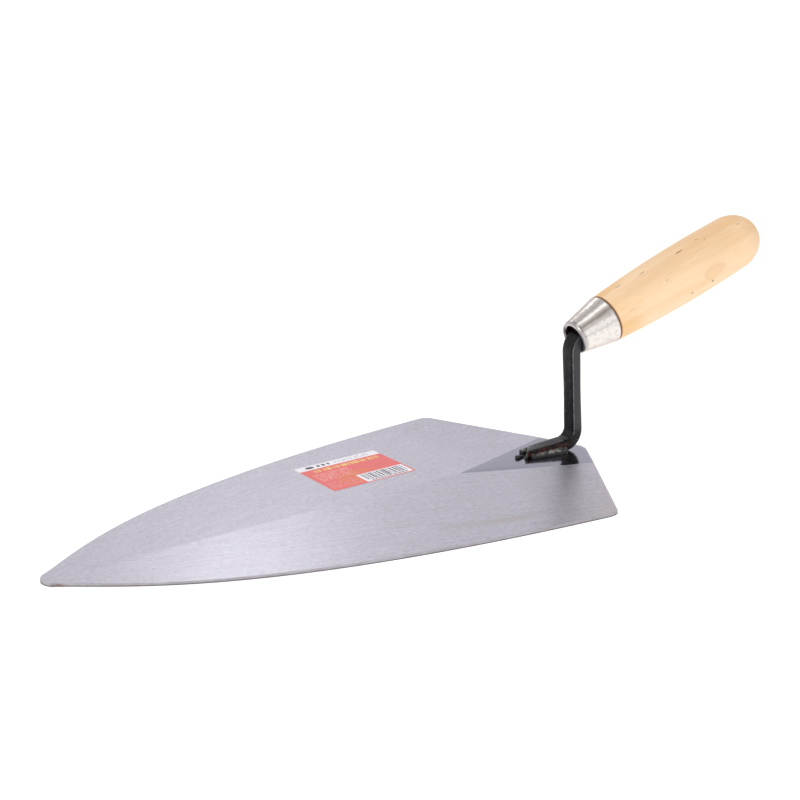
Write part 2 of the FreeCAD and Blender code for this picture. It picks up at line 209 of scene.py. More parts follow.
def add_table():
    """Pale table top, just under the blade's rim."""
    mesh = bpy.data.meshes.new("table")
    corners = [(-1, -1), (1, -1), (1, 1), (-1, 1)]
    places = [(x * TABLE_REACH, y * TABLE_REACH, 0.0) for x, y in corners]
    mesh.from_pydata(places, [], [(0, 1, 2, 3)])
    table = bpy.data.objects.new("table", mesh)
    bpy.context.scene.collection.objects.link(table)
    material, root = new_material("table_white")
    inputs = {"Base Color": grey(0.9), "Roughness": 0.8, "Specular IOR Level": 0.2,
              "Emission Color": grey(1.0), "Emission Strength": TABLE_GLOW}
    finish_material(root, inputs)
    mesh.materials.append(material)


def add_sky():
    """Soft sky: pale and cool behind the trowel, dim on the viewer's side and overhead."""
    world = bpy.data.worlds.new("sky")
    world.use_nodes = True
    world.node_tree.nodes.clear()
    root = Wire(world.node_tree)
    _, depth, height = root.node("ShaderNodeTexCoord", output=0).parts()
    color = depth.ramp(-0.5, 0.6).tint(SKY_FRONT, SKY_BEHIND)
    color = (height.ramp(0.30, 0.60) * 0.55).tint(color, SKY_HIGH)
    color = height.ramp(0.55, 0.95).tint(color, SKY_OVERHEAD)
    sky = root.node("ShaderNodeBackground", inputs={"Color": color, "Strength": 1.0})
    root.node("ShaderNodeOutputWorld", inputs={"Surface": sky})
    bpy.context.scene.world = world


bpy.context.scene.view_settings.view_transform = "Standard"
add_camera()
add_table()
add_sky()
add_softbox("softbox_key", (-0.9, -0.7, 1.3), BLADE_CENTRE, (0.9, 0.9), 7.8, (1.0, 0.98, 0.95))
add_softbox("softbox_front", (-0.05, -1.15, 0.45), HANDLE_CENTRE, (0.6, 0.7), 0.5, (1.0, 0.97, 0.94))
add_softbox("softbox_top", (-0.17, -0.03, 1.1), HANDLE_CENTRE, (0.3, 0.75), 0.6)
add_softbox("softbox_tip", (0.275, 0.69, 0.61), BLADE_FRONT, (0.13, 0.2), 0.28)


# ---- blade ---------------------------------------------------------------------------------
# Spring steel sheet, pressed so that a low ridge runs from the tip to a three-cornered flat
# under the tang, then ground with a belt whose fine lines spread from the ridge to the heel.

TIP_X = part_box("blade")[0].x
BLADE_LENGTH = 314.4 * MM
HALF_WIDTH = 83.1 * MM
HEEL_DEPTH = 44.5 * MM
SHEET = 1.7 * MM
CROWN = 3.4 * MM
FACET_LENGTH = 83.8 * MM
FACET_HALF_WIDTH = 22.7 * MM
TIP_OVERRUN = 10.4 * MM
TIP_RADIUS = 7.0 * MM
CORNER_RADIUS = 2.6 * MM
HEEL_ROUND = 4.25 * MM
NOSE_TURN = math.radians(58.5)
NOSE_JOIN = 0.138
NOSE_SHARE = 0.06
SIDE_POLES = ((-TIP_OVERRUN, 0.0), (23.8 * MM, 8.1 * MM), (41.5 * MM, 65.9 * MM),
              (BLADE_LENGTH - HEEL_DEPTH, HALF_WIDTH))
RIDGE_STRAY = 4.5 * MM
RIDGE_SOFTNESS = 0.00002
FOLD_SOFTNESS = 0.12 * MM
ROWS_ALONG = 300
ROWS_ACROSS = 131
EDGE_BEVEL = 0.22 * MM
GRIND_ANGLE = math.radians(13)
STEEL_DARK = (0.40, 0.39, 0.435, 1)
STEEL_BRIGHT = (0.66, 0.65, 0.725, 1)
FACET_DARK_TINT = (0.262, 0.262, 0.315, 1)
TAN_SMEAR = (0.47, 0.43, 0.41, 1)
DARK_SPECK = (0.12, 0.11, 0.12, 1)
CUT_SHADED_LOW = (0.16, 0.15, 0.155, 1)
CUT_HIGH = (0.43, 0.42, 0.45, 1)
RUST_BROWN = (0.15, 0.075, 0.05, 1)
SMEAR_PLACE = (-6.0 * MM, -59.34 * MM)
SMEAR_SLOPE = 0.16


def new_group(name, sizes):
    """A geometry tree with one named input for each size, and the wire it grows from."""
    tree = bpy.data.node_groups.new(name, "GeometryNodeTree")
    tree.interface.new_socket("Geometry", in_out="OUTPUT", socket_type="NodeSocketGeometry")
    sockets = {}
    for label, value in sizes.items():
        socket = tree.interface.new_socket(label, in_out="INPUT", socket_type="NodeSocketFloat")
        socket.default_value = value
        sockets[label] = socket.identifier
    start = tree.nodes.new("NodeGroupInput")
    wires = {label: Wire(tree, start.outputs[label]) for label in sizes}
    return tree, sockets, Wire(tree), wires


def close_group(root, geometry, material):
    """End a geometry tree in Realize Instances and Set Material."""
    real = root.node("GeometryNodeRealizeInstances", inputs={"Geometry": geometry})
    shown = root.node("GeometryNodeSetMaterial", inputs={"Geometry": real, "Material": material})
    root.node("NodeGroupOutput", inputs={"Geometry": shown})


def grow(name, tree, sockets, sizes, finishers=()):
    """Run a geometry tree, and any finishing modifiers, into one plain mesh object."""
    source = bpy.data.objects.new(name, bpy.data.meshes.new(name))
    bpy.context.scene.collection.objects.link(source)
    modifier = source.modifiers.new("shape", "NODES")
    modifier.node_group = tree
    for label, value in sizes.items():
        modifier[sockets[label]] = value
    for kind, settings in finishers:
        finisher = source.modifiers.new(kind.lower(), kind)
        for setting, value in settings.items():
            setattr(finisher, setting, value)
    ready = source.evaluated_get(bpy.context.evaluated_depsgraph_get())
    mesh = bpy.data.meshes.new_from_object(ready)
    source.modifiers.clear()
    source.data = mesh
    mesh.name = name
    return source


def bezier(along, poles):
    """One coordinate of a cubic curve, as a wire."""
    rest = 1 - along
    return (poles[0] * rest * rest * rest + 3 * poles[1] * along * rest * rest
            + 3 * poles[2] * along * along * rest + poles[3] * along * along * along)


def pinch(first, second, reach):
    """Round one corner of a patch: pull a place near the corner onto a quarter circle."""
    p = (1 - first / reach).math("MAXIMUM", 0)
    q = (1 - second / reach).math("MAXIMUM", 0)
    round_p = p * (1 - q * q * 0.5).math("SQRT")
    round_q = q * (1 - p * p * 0.5).math("SQRT")
    return first + (p - round_p) * reach, second + (q - round_q) * reach


def blade_side(along):
    """Rim of the far half: a round nose, then one cubic curve to the heel corner."""
    turn = along * (NOSE_TURN / NOSE_SHARE)
    nose_x = TIP_RADIUS * (1 - turn.math("COSINE"))
    nose_y = TIP_RADIUS * turn.math("SINE")
    step = (1 - NOSE_JOIN) / (1 - NOSE_SHARE)
    place = (along - NOSE_SHARE) * step + NOSE_JOIN
    side_x = bezier(place, [pole[0] for pole in SIDE_POLES])
    side_y = bezier(place, [pole[1] for pole in SIDE_POLES])
    past = along > NOSE_SHARE
    return nose_x + (side_x - nose_x) * past, nose_y + (side_y - nose_y) * past


def blade_tree(sizes, material):
    """Underside of the blade: a grid whose rows are V-shaped like the heel."""
    tree, sockets, root, size = new_group("crowned_sheet", sizes)
    lattice = {"Size X": 1.0, "Size Y": 2.0, "Vertices X": ROWS_ALONG, "Vertices Y": ROWS_ACROSS}
    grid = root.node("GeometryNodeMeshGrid", inputs=lattice)
    across, aside, _ = root.node("GeometryNodeInputPosition").parts()
    to_heel = (1 - (across + 0.5)) * BLADE_LENGTH
    to_rim = (1 - abs(aside)) * HALF_WIDTH
    to_heel, to_rim = pinch(to_heel, to_rim, CORNER_RADIUS)
    along = 1 - to_heel / BLADE_LENGTH
    share = 1 - to_rim / HALF_WIDTH
    rim_x, rim_y = blade_side(along)
    heel = size["Heel Depth"] * (rim_x / (BLADE_LENGTH - HEEL_DEPTH))
    blunt = (HEEL_ROUND / HALF_WIDTH - share).math("MAXIMUM", 0)
    blunt = blunt * blunt * (HALF_WIDTH / HEEL_ROUND / 2)
    x = rim_x + heel * (1 - share - blunt)
    y = rim_y * share * aside.math("SIGN")
    centre_x = rim_x + heel
    apex = BLADE_LENGTH - FACET_LENGTH
    climb = centre_x.ramp(0, apex, 0, 1, smooth=False)
    heel_edge = FACET_HALF_WIDTH * HEEL_DEPTH / HALF_WIDTH / FACET_LENGTH
    heel_left = heel_edge / (1 - FACET_HALF_WIDTH / HALF_WIDTH)
    fall = centre_x.ramp(apex, BLADE_LENGTH, 1, heel_left, smooth=False)
    ridge = size["Crown"] * climb * fall
    stray = centre_x.ramp(apex, BLADE_LENGTH, 1, 0.6, smooth=False) * climb * RIDGE_STRAY
    y = y - stray * (1 - share)
    half = ridge * (1 - (share * share + RIDGE_SOFTNESS).math("SQRT"))
    facet = size["Crown"] * (BLADE_LENGTH - x) / size["Facet Length"]
    z = half.math("SMOOTH_MIN", facet, FOLD_SOFTNESS).math("MAXIMUM", 0)
    place = root.vector(x + TIP_X, y, z)
    sheet = root.node("GeometryNodeSetPosition", inputs={"Geometry": grid, "Position": place})
    welded = root.node("GeometryNodeMergeByDistance", inputs={"Geometry": sheet, "Distance": 1e-6})
    smooth = root.node("GeometryNodeSetShadeSmooth", inputs={"Geometry": welded})
    close_group(root, smooth, material)
    return tree, sockets


def ground_steel():
    """Bright belt-ground steel: fine lines, faint stains and specks, and a dull cut edge with painted
    shade along its lower part and brown rust near the tip.
    """
    material, root = new_material("ground_steel")
    place = root.node("ShaderNodeTexCoord", output=3)
    x, y, z = place.parts()
    cos, sin = math.cos(GRIND_ANGLE), math.sin(GRIND_ANGLE)
    along = x * cos + abs(y) * sin
    cross = abs(y) * cos - x * sin
    fine = root.noise(root.vector(along * 330, cross * 1700, 0.0), 1.0, detail=4.0, rough=0.7)
    broad = root.noise(root.vector(along * 45, cross * 520, 3.0), 1.0, detail=3.0, rough=0.6)
    cloud = root.noise(place, 22.0, detail=4.0, rough=0.6)
    bright = fine.ramp(0.25, 0.75, -0.60, 0.60, smooth=False)
    bright = bright + broad.ramp(0.3, 0.7, -0.16, 0.16, smooth=False)
    bright = bright + cloud.ramp(0.3, 0.7, -0.02, 0.02, smooth=False)
    color = (bright + 0.5).tint(STEEL_DARK, STEEL_BRIGHT)
    facet = facet_mask(x, y)
    # The three-cornered flat is tinted darker than the rest of the blade.
    color = facet.tint(color, FACET_DARK_TINT)
    color = (smear_mask(root, x, y) * 0.7).tint(color, TAN_SMEAR)
    specks = root.noise(place, 900.0, detail=1.0)
    color = specks.ramp(0.76, 0.80).tint(color, DARK_SPECK)
    edge = edge_mask(root)
    rust = root.noise(place, 160.0, detail=4.0)
    tip_rust = x.ramp(TIP_X + 4 * MM, TIP_X + 16 * MM, 1.0, 0.15)
    # Painted shade: the cut edge is drawn darker along its lower part, next to the table.
    cut = z.ramp(0.35 * MM, 0.8 * MM).tint(CUT_SHADED_LOW, CUT_HIGH)
    cut = (rust.ramp(0.4, 0.6) * tip_rust).tint(cut, RUST_BROWN)
    color = edge.tint(color, cut)
    rough = 0.32 + fine.ramp(0.3, 0.7, -0.05, 0.07, smooth=False) + edge * 0.2
    rough = rough - facet * 0.19 + x.ramp(0.0, 45 * MM) * (1 - facet) * 0.08
    height = fine * 0.6 + broad * 0.4
    inputs = {"Base Color": color, "Metallic": 1.0, "Roughness": rough}
    finish_material(root, inputs, height, 0.00002, 0.6)
    return material


def facet_mask(x, y):
    """1 on the three-cornered flat between the ridge's end and the heel."""
    apex = TIP_X + BLADE_LENGTH - FACET_LENGTH
    spread = FACET_HALF_WIDTH / (FACET_LENGTH - FACET_HALF_WIDTH * HEEL_DEPTH / HALF_WIDTH)
    stray = x.ramp(apex, TIP_X + BLADE_LENGTH, RIDGE_STRAY, 0.42 * RIDGE_STRAY, smooth=False)
    return ((x - apex) * spread - abs(y + stray)).ramp(-0.35 * MM, 0.25 * MM)


def smear_mask(root, x, y):
    """Faint tan smear on the near half, left by a drip of lacquer."""
    wave = root.noise(root.vector(x * 60, y * 60, 7.0), 1.0, detail=4.0)
    dx, dy = x - SMEAR_PLACE[0], y - SMEAR_PLACE[1]
    middle = dy + dx * SMEAR_SLOPE + (wave - 0.5) * (12 * MM)
    band = abs(middle).ramp(0.0, 5.5 * MM, 1.0, 0.0)
    ends = abs(dx).ramp(16 * MM, 30 * MM, 1.0, 0.0)
    return band * ends * wave.ramp(0.35, 0.6, 0.4, 1.0)


def edge_mask(root):
    """1 on the blade's cut edge, where the surface faces sideways."""
    facing = root.node("ShaderNodeNewGeometry", output=1).parts()[2]
    return abs(facing).ramp(0.5, 0.8, 1.0, 0.0)


blade_sizes = {"Heel Depth": HEEL_DEPTH, "Crown": CROWN, "Facet Length": FACET_LENGTH}
blade_shape, blade_sockets = blade_tree(blade_sizes, ground_steel())
solid = ("SOLIDIFY", {"thickness": SHEET, "offset": 1.0, "use_even_offset": False})
rounded = ("BEVEL", {"width": EDGE_BEVEL, "segments": 2, "limit_method": "ANGLE",
                     "angle_limit": math.radians(45)})
blade = grow("blade_ground", blade_shape, blade_sockets, blade_sizes, [solid, rounded])
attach(blade, "root")
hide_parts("blade")


# ---- tang ----------------------------------------------------------------------------------
# One rectangular bar, forged thinner at the foot, cranked twice and drawn out to a spike that
# is driven into the handle. It was dipped in black lacquer over the scale of the forge.

FACET_SLOPE = math.atan2(CROWN, FACET_LENGTH)
TANG_SETBACK = 5.8 * MM
TANG_X = TIP_X + BLADE_LENGTH - TANG_SETBACK
TANG_Z = SHEET + TANG_SETBACK * math.tan(FACET_SLOPE)
BAR_WIDTH = 9.4 * MM
BAR_DEPTH = 5.9 * MM
FOOT_LENGTH = 22.0 * MM
FOOT_NOSE = 3.5 * MM
NOSE_SKEW = 4.2 * MM
NOSE_STRAY = 0.9 * MM
FOOT_TAPER = 0.10
HEEL_BEND = 7.5 * MM
NECK_BEND = 9.0 * MM
SHANK_RUN = 42.5 * MM
SHANK_WAIST = 0.04
HANDLE_PITCH = math.radians(18.15)
SHANK_LEAN = math.radians(3.8)
SHANK_ANGLE = math.pi / 2 + SHANK_LEAN + FACET_SLOPE
NECK_ANGLE = HANDLE_PITCH + FACET_SLOPE
FERRULE_LENGTH = 21.5 * MM
TENON_LENGTH = 14.5 * MM
MOUTH_GAP = 0.4 * MM
SPIKE_LENGTH = 30.0 * MM
SPIKE_TAPER = 0.7
FOOT_STEPS = 14
HEEL_STEPS = 22
SHANK_STEPS = 30
NECK_STEPS = 20
LACQUER_DARK = (0.0035, 0.003, 0.0035, 1)
LACQUER_LIGHT = (0.010, 0.009, 0.010, 1)
LACQUER_LIT_SIDE = (0.050, 0.049, 0.054, 1)
LACQUER_RED = (0.055, 0.02, 0.017, 1)
FOOT_RUST = (0.10, 0.027, 0.012, 1)
CORNER_HIGHLIGHT = (0.20, 0.195, 0.19, 1)
BARE_CHIP = (0.45, 0.43, 0.42, 1)

TO_TANG = Matrix.Translation((TANG_X, 0, TANG_Z)) @ Matrix.Rotation(FACET_SLOPE, 4, "Y")


def toward(angle):
    """Unit vector in the XZ plane, at an angle from +X towards +Z."""
    return Vector((math.cos(angle), 0, math.sin(angle)))


def bend(start, angle, turn, radius, steps):
    """Places and headings round an arc; a positive turn bends towards +Z."""
    side = 1 if turn > 0 else -1
    centre = start + toward(angle + side * math.pi / 2) * radius
    for step in range(1, steps + 1):
        heading = angle + turn * step / steps
        yield centre + toward(heading - side * math.pi / 2) * radius, heading


def bar_stations():
    """Centre line of the bar from the foot's nose: place, heading, width, depth and skew."""
    bend_rise = BAR_DEPTH / 2 + HEEL_BEND * (1 - math.cos(SHANK_ANGLE))
    rear = bend_rise / math.tan(SHANK_ANGLE) - HEEL_BEND * math.sin(SHANK_ANGLE)
    stations = []
    for step in range(FOOT_STEPS + 1):
        left = 1 - step / FOOT_STEPS
        depth = BAR_DEPTH + (FOOT_NOSE - BAR_DEPTH) * left
        width = BAR_WIDTH * (1 - FOOT_TAPER * left)
        place = Vector((rear - FOOT_LENGTH * left, NOSE_STRAY * left, depth / 2))
        stations.append((place, 0.0, width, depth, NOSE_SKEW * left ** 2))
    start = stations[-1][0]
    for place, heading in bend(start, 0.0, SHANK_ANGLE, HEEL_BEND, HEEL_STEPS):
        stations.append((place, heading, BAR_WIDTH, BAR_DEPTH))
    start = stations[-1][0]
    for step in range(1, SHANK_STEPS + 1):
        waist = 1 - SHANK_WAIST * math.sin(math.pi * step / SHANK_STEPS) ** 2
        place = start + toward(SHANK_ANGLE) * SHANK_RUN * step / SHANK_STEPS
        stations.append((place, SHANK_ANGLE, BAR_WIDTH * waist, BAR_DEPTH * waist))
    start = stations[-1][0]
    turn = NECK_ANGLE - SHANK_ANGLE
    for place, heading in bend(start, SHANK_ANGLE, turn, NECK_BEND, NECK_STEPS):
        stations.append((place, heading, BAR_WIDTH, BAR_DEPTH))
    inside = (NECK_BEND - BAR_DEPTH / 2) * math.sin(SHANK_ANGLE - NECK_ANGLE)
    run = FERRULE_LENGTH - TENON_LENGTH + MOUTH_GAP - inside
    start = stations[-1][0] + toward(NECK_ANGLE) * run
    stations.append((start, NECK_ANGLE, BAR_WIDTH, BAR_DEPTH))
    end = start + toward(NECK_ANGLE) * SPIKE_LENGTH
    stations.append((end, NECK_ANGLE, BAR_WIDTH * SPIKE_TAPER, BAR_DEPTH * SPIKE_TAPER))
    return stations, start


def bar_ring(place, heading, width, depth, skew=0.0, sides=48, square=6.5):
    """Rounded rectangle round one station, as a superellipse; skew slants it along X."""
    up = toward(heading + math.pi / 2)
    ring = []
    for step in range(sides):
        angle = 2 * math.pi * step / sides
        cos, sin = math.cos(angle), math.sin(angle)
        reach = (abs(cos) ** square + abs(sin) ** square) ** (-1 / square)
        aside = Vector((cos * reach * skew, cos * reach * width / 2, 0))
        ring.append(place + aside + up * sin * reach * depth / 2)
    return ring


def mesh_object(name, verts, faces, material):
    """A smooth-shaded object from vertices and faces, with its faces turned outwards."""
    mesh = bpy.data.meshes.new(name)
    mesh.from_pydata([tuple(vert) for vert in verts], [], faces)
    mesh.materials.append(material)
    work = bmesh.new()
    work.from_mesh(mesh)
    bmesh.ops.recalc_face_normals(work, faces=work.faces)
    work.to_mesh(mesh)
    work.free()
    mesh.polygons.foreach_set("use_smooth", [True] * len(mesh.polygons))
    made = bpy.data.objects.new(name, mesh)
    bpy.context.scene.collection.objects.link(made)
    return made


def skin(rings):
    """Vertices and faces of a closed tube through rings of equal size, with capped ends."""
    count = len(rings[0])
    verts = [vert for ring in rings for vert in ring]
    faces = []
    for row in range(len(rings) - 1):
        for step in range(count):
            near, far = row * count, (row + 1) * count
            after = (step + 1) % count
            faces.append((near + step, near + after, far + after, far + step))
    faces.append(tuple(range(count)))
    faces.append(tuple(range(len(verts) - count, len(verts))))
    return verts, faces


def black_lacquer():
    """Glossy black over forge scale, rusty along the foot and chipped on the shank, with painted
    light on the shank's near side and a painted highlight along the bar's corners.
    """
    material, root = new_material("black_lacquer")
    place = root.node("ShaderNodeTexCoord", output=3)
    x, y, z = place.parts()
    pits = root.noise(place, 1100.0, detail=2.0, rough=0.6)
    lumps = root.noise(place, 190.0, detail=4.0, rough=0.55, warp=0.4)
    wear_and_highlight_noise = root.noise(place, 420.0, detail=5.0, rough=0.65)
    low = z.ramp(4.5 * MM, 8.5 * MM, 1.0, 0.0) * x.ramp(82 * MM, 88 * MM, 1.0, 0.0)
    rust = low * abs(y).ramp(2.6 * MM, 4.2 * MM) * wear_and_highlight_noise.ramp(0.40, 0.56)
    color = wear_and_highlight_noise.ramp(0.3, 0.75).tint(LACQUER_DARK, LACQUER_LIGHT)
    color = rust.tint(color, FOOT_RUST)
    # Painted light: the shank's near side face is drawn a lighter grey.
    painted_light_side = (0 - y).ramp(3.7 * MM, 4.5 * MM) * z.ramp(10 * MM, 16 * MM)
    color = (painted_light_side * 0.9).tint(color, LACQUER_LIT_SIDE)
    # Painted highlight: a thin light line along the bar's corners, broken up by noise.
    facing_x, facing_y, _ = root.node("ShaderNodeNewGeometry", output=1).parts()
    corner_highlight = abs(facing_x * facing_y).ramp(0.40, 0.50) * wear_and_highlight_noise.ramp(0.30, 0.55)
    color = (corner_highlight * 0.9).tint(color, CORNER_HIGHLIGHT)
    far_corner = y.ramp(3.8 * MM, 4.5 * MM) * z.ramp(12 * MM, 16 * MM)
    color = (far_corner * 0.8).tint(color, LACQUER_RED)
    color = (pits.ramp(0.71, 0.74) * 0.8).tint(color, BARE_CHIP)
    rough = 0.24 + lumps.ramp(0.3, 0.7, -0.06, 0.10) + rust * 0.25
    height = lumps * 0.8 + pits * 0.2
    inputs = {"Base Color": color, "Roughness": rough, "Specular IOR Level": 0.17}
    finish_material(root, inputs, height, 0.0007, 0.8)
    return material


lacquer = black_lacquer()
stations, spike_start = bar_stations()
verts, faces = skin([bar_ring(*station) for station in stations])
tang = mesh_object("tang_bar", [TO_TANG @ vert for vert in verts], faces, lacquer)
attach(tang, "root")
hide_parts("tang")


# ---- welds ---------------------------------------------------------------------------------
# Weld metal laid along both sides of the foot and across its nose, each bead a row of
# overlapping drops, with a ball of spatter ahead of the nose. Its lower part, near the blade, is
# coloured black.

WELD_HEEL = 3.0 * MM
WELD_FRONT = 1.7 * MM
SPATTER_RADIUS = 1.4 * MM
SPATTER_GAP = 7.8 * MM
WELD_SUNK = 0.55 * MM
WELD_ROOT = 1.3 * MM
WELD_DROPS = 18
WELD_VOXEL = 0.16 * MM
WELD_LUMPS = 1.0 * MM
WELD_BLACK = (0.012, 0.011, 0.011, 1)
WELD_SILVER = (0.30, 0.30, 0.285, 1)


def weld_tree(material):
    """A row of uneven drops along X, thick at its start, run together into one bead."""
    sizes = {"Length": FOOT_LENGTH, "Thick End": WELD_HEEL, "Thin End": WELD_FRONT, "Seed": 1.0}
    tree, sockets, root, size = new_group("weld_bead", sizes)
    spacing = root.vector(size["Length"] / (WELD_DROPS - 1), 0.0, 0.0)
    line = root.node("GeometryNodeMeshLine", inputs={"Count": WELD_DROPS, "Offset": spacing})
    index = root.node("GeometryNodeInputIndex")
    fade = size["Thick End"] + (size["Thin End"] - size["Thick End"]) * index / (WELD_DROPS - 1)
    swell = root.node("FunctionNodeRandomValue", {"data_type": "FLOAT"},
                      {2: 0.86, 3: 1.10, "ID": index, "Seed": size["Seed"]}, output=1)
    stray = root.node("FunctionNodeRandomValue", {"data_type": "FLOAT_VECTOR"},
                      {0: (-0.3, -0.35, -0.1), 1: (0.3, 0.35, 0.1), "ID": index,
                       "Seed": size["Seed"] + 7})
    drop = root.node("GeometryNodeMeshIcoSphere", inputs={"Radius": 1.0, "Subdivisions": 3})
    scale = root.vector(fade * swell * 0.7, fade * swell, fade * swell)
    row = root.node("GeometryNodeInstanceOnPoints",
                    inputs={"Points": line, "Instance": drop, "Scale": scale})
    shift = root.node("ShaderNodeVectorMath", {"operation": "SCALE"}, {0: stray, "Scale": MM})
    moved = root.node("GeometryNodeTranslateInstances",
                      inputs={"Instances": row, "Translation": shift})
    drops = root.node("GeometryNodeRealizeInstances", inputs={"Geometry": moved})
    voxels = {"resolution_mode": "VOXEL_SIZE"}
    fog = root.node("GeometryNodeMeshToVolume", voxels,
                    {"Mesh": drops, "Voxel Size": WELD_VOXEL, "Interior Band Width": 0.6 * MM})
    melt = root.node("GeometryNodeVolumeToMesh", voxels, {"Volume": fog, "Voxel Size": WELD_VOXEL})
    place = root.node("GeometryNodeInputPosition")
    lumps = root.noise(place, 800.0, detail=3.0, rough=0.65, warp=0.5)
    normal = root.node("GeometryNodeInputNormal")
    push = root.node("ShaderNodeVectorMath", {"operation": "SCALE"},
                     {0: normal, "Scale": (lumps - 0.5) * WELD_LUMPS})
    lumpy = root.node("GeometryNodeSetPosition", inputs={"Geometry": melt, "Offset": push})
    x, y, z = place.parts()
    flat = root.vector(x, y, z.math("MAXIMUM", -WELD_ROOT))
    seated = root.node("GeometryNodeSetPosition", inputs={"Geometry": lumpy, "Position": flat})
    smooth = root.node("GeometryNodeSetShadeSmooth", inputs={"Geometry": seated})
    close_group(root, smooth, material)
    return tree, sockets


def weld_metal():
    """Weld metal: dull silver ripples in patches with black slag between, and black all along its
    lower part near the blade.
    """
    material, root = new_material("weld_metal")
    place = root.node("ShaderNodeTexCoord", output=3)
    ripple = root.noise(place, 700.0, detail=4.0, rough=0.6, warp=0.6)
    patch = root.noise(place, 330.0, detail=5.0, rough=0.7)
    x, _, z = place.parts()
    proud = z - SHEET - (TIP_X + BLADE_LENGTH - x) * math.tan(FACET_SLOPE)
    # The weld is drawn black below about 1.3 to 2.3 mm above the blade, and between the silver
    # patches.
    bare = patch.ramp(0.44, 0.56) * proud.ramp(1.3 * MM, 2.3 * MM)
    color = bare.tint(WELD_BLACK, WELD_SILVER)
    rough = 0.38 + ripple.ramp(0.3, 0.7, -0.1, 0.15)
    inputs = {"Base Color": color, "Metallic": bare, "Roughness": rough}
    finish_material(root, inputs, ripple, 0.0004, 0.9)
    return material


def lay_weld(name, node, start, heading, run):
    """Grow one bead in the tang's frame and lay it from start along heading."""
    bead = grow(name, weld_shape, weld_sockets, run, [("SMOOTH", {"factor": 0.5, "iterations": 2})])
    bead.data.transform(TO_TANG @ Matrix.Translation(start) @ Matrix.Rotation(heading, 4, "Z"))
    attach(bead, "root")
    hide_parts(node)


weld_shape, weld_sockets = weld_tree(weld_metal())
foot_front = stations[0][0].x
side_start = foot_front + FOOT_LENGTH - WELD_HEEL * 0.5
side_run = {"Length": FOOT_LENGTH - WELD_HEEL * 0.4, "Thick End": WELD_HEEL * 0.88,
            "Thin End": WELD_FRONT * 1.15}
lay_weld("weld_bead_near", "weld_near", (side_start, -BAR_WIDTH / 2, WELD_SUNK), math.pi,
         {**side_run, "Seed": 3.0})
lay_weld("weld_bead_far", "weld_far", (side_start, BAR_WIDTH / 2, WELD_SUNK), math.pi,
         {**side_run, "Seed": 8.0})
nose_start = (foot_front - NOSE_SKEW + 0.4 * MM, -0.34 * BAR_WIDTH, WELD_SUNK)
nose_run = {"Length": BAR_WIDTH * 1.2, "Thick End": WELD_FRONT * 0.6,
            "Thin End": WELD_FRONT * 0.3, "Seed": 5.0}
lay_weld("weld_bead_nose", "weld_nose", nose_start, math.radians(44), nose_run)
ball_start = (foot_front - SPATTER_GAP, -0.6 * MM, 0.5 * MM)
ball_run = {"Length": 4.2 * MM, "Thick End": SPATTER_RADIUS,
            "Thin End": SPATTER_RADIUS * 0.35, "Seed": 2.0}
lay_weld("weld_ball", "weld_spatter", ball_start, 0.0, ball_run)


# ---- handle --------------------------------------------------------------------------------
# Pale hardwood, turned with a tenon for the ferrule and a domed butt, sanded and given one
# thin coat of clear varnish.

SHOULDER_RADIUS = 13.1 * MM
GRIP_RADIUS = 15.7 * MM
GRIP_STATION = 65.0 * MM
BUTT_RADIUS = 15.2 * MM
GRIP_LENGTH = 91.6 * MM
DOME_LENGTH = 17.8 * MM
SHOULDER = TO_TANG @ (spike_start + toward(NECK_ANGLE) * TENON_LENGTH)
TO_HANDLE = Matrix.Translation(SHOULDER) @ Matrix.Rotation(math.pi / 2 - HANDLE_PITCH, 4, "Y")


def turned(name, profile, material, sides=128):
    """Solid of revolution about the handle's axis from (radius, station) pairs."""
    angles = [2 * math.pi * step / sides for step in range(sides)]
    rings = []
    for radius, station in profile:
        places = [(radius * math.cos(angle), radius * math.sin(angle), station) for angle in angles]
        rings.append([TO_HANDLE @ Vector(place) for place in places])
    return mesh_object(name, *skin(rings), material)


def arc_through(first, middle, last, steps):
    """Points of the circle through three (radius, station) points, from first to last."""
    (x1, y1), (x2, y2), (x3, y3) = first, middle, last
    twice = 2 * (x1 * (y2 - y3) + x2 * (y3 - y1) + x3 * (y1 - y2))
    s1, s2, s3 = x1 * x1 + y1 * y1, x2 * x2 + y2 * y2, x3 * x3 + y3 * y3
    cx = (s1 * (y2 - y3) + s2 * (y3 - y1) + s3 * (y1 - y2)) / twice
    cy = (s1 * (x3 - x2) + s2 * (x1 - x3) + s3 * (x2 - x1)) / twice
    radius = math.hypot(x1 - cx, y1 - cy)
    start, stop = math.atan2(y1 - cy, x1 - cx), math.atan2(y3 - cy, x3 - cx)
    for step in range(steps + 1):
        angle = start + (stop - start) * step / steps
        yield cx + radius * math.cos(angle), cy + radius * math.sin(angle)


def handle_profile():
    """Tenon, eased shoulder, long swelling grip and elliptical dome."""
    ease = 0.5 * MM
    profile = [(0.5 * MM, -TENON_LENGTH), (9.2 * MM, -TENON_LENGTH), (12.4 * MM, -0.02 * MM)]
    profile += [(SHOULDER_RADIUS - ease, 0.0), (SHOULDER_RADIUS - 0.15 * ease, 0.15 * ease)]
    grip = list(arc_through((SHOULDER_RADIUS, 0), (GRIP_RADIUS, GRIP_STATION),
                            (BUTT_RADIUS, GRIP_LENGTH), 60))
    profile += [point for point in grip if point[1] > ease]
    for step in range(1, 30):
        angle = math.pi / 2 * step / 30
        profile.append((BUTT_RADIUS * math.cos(angle), GRIP_LENGTH + DOME_LENGTH * math.sin(angle)))
    profile.append((0.15 * MM, GRIP_LENGTH + DOME_LENGTH))
    return profile


def along_handle(root):
    """Object coordinates turned so that Z runs along the handle from its shoulder."""
    place = root.node("ShaderNodeTexCoord", output=3)
    settings = {"vector_type": "TEXTURE"}
    inputs = {"Vector": place, "Location": SHOULDER, "Rotation": (0, math.pi / 2 - HANDLE_PITCH, 0)}
    return root.node("ShaderNodeMapping", settings, inputs)


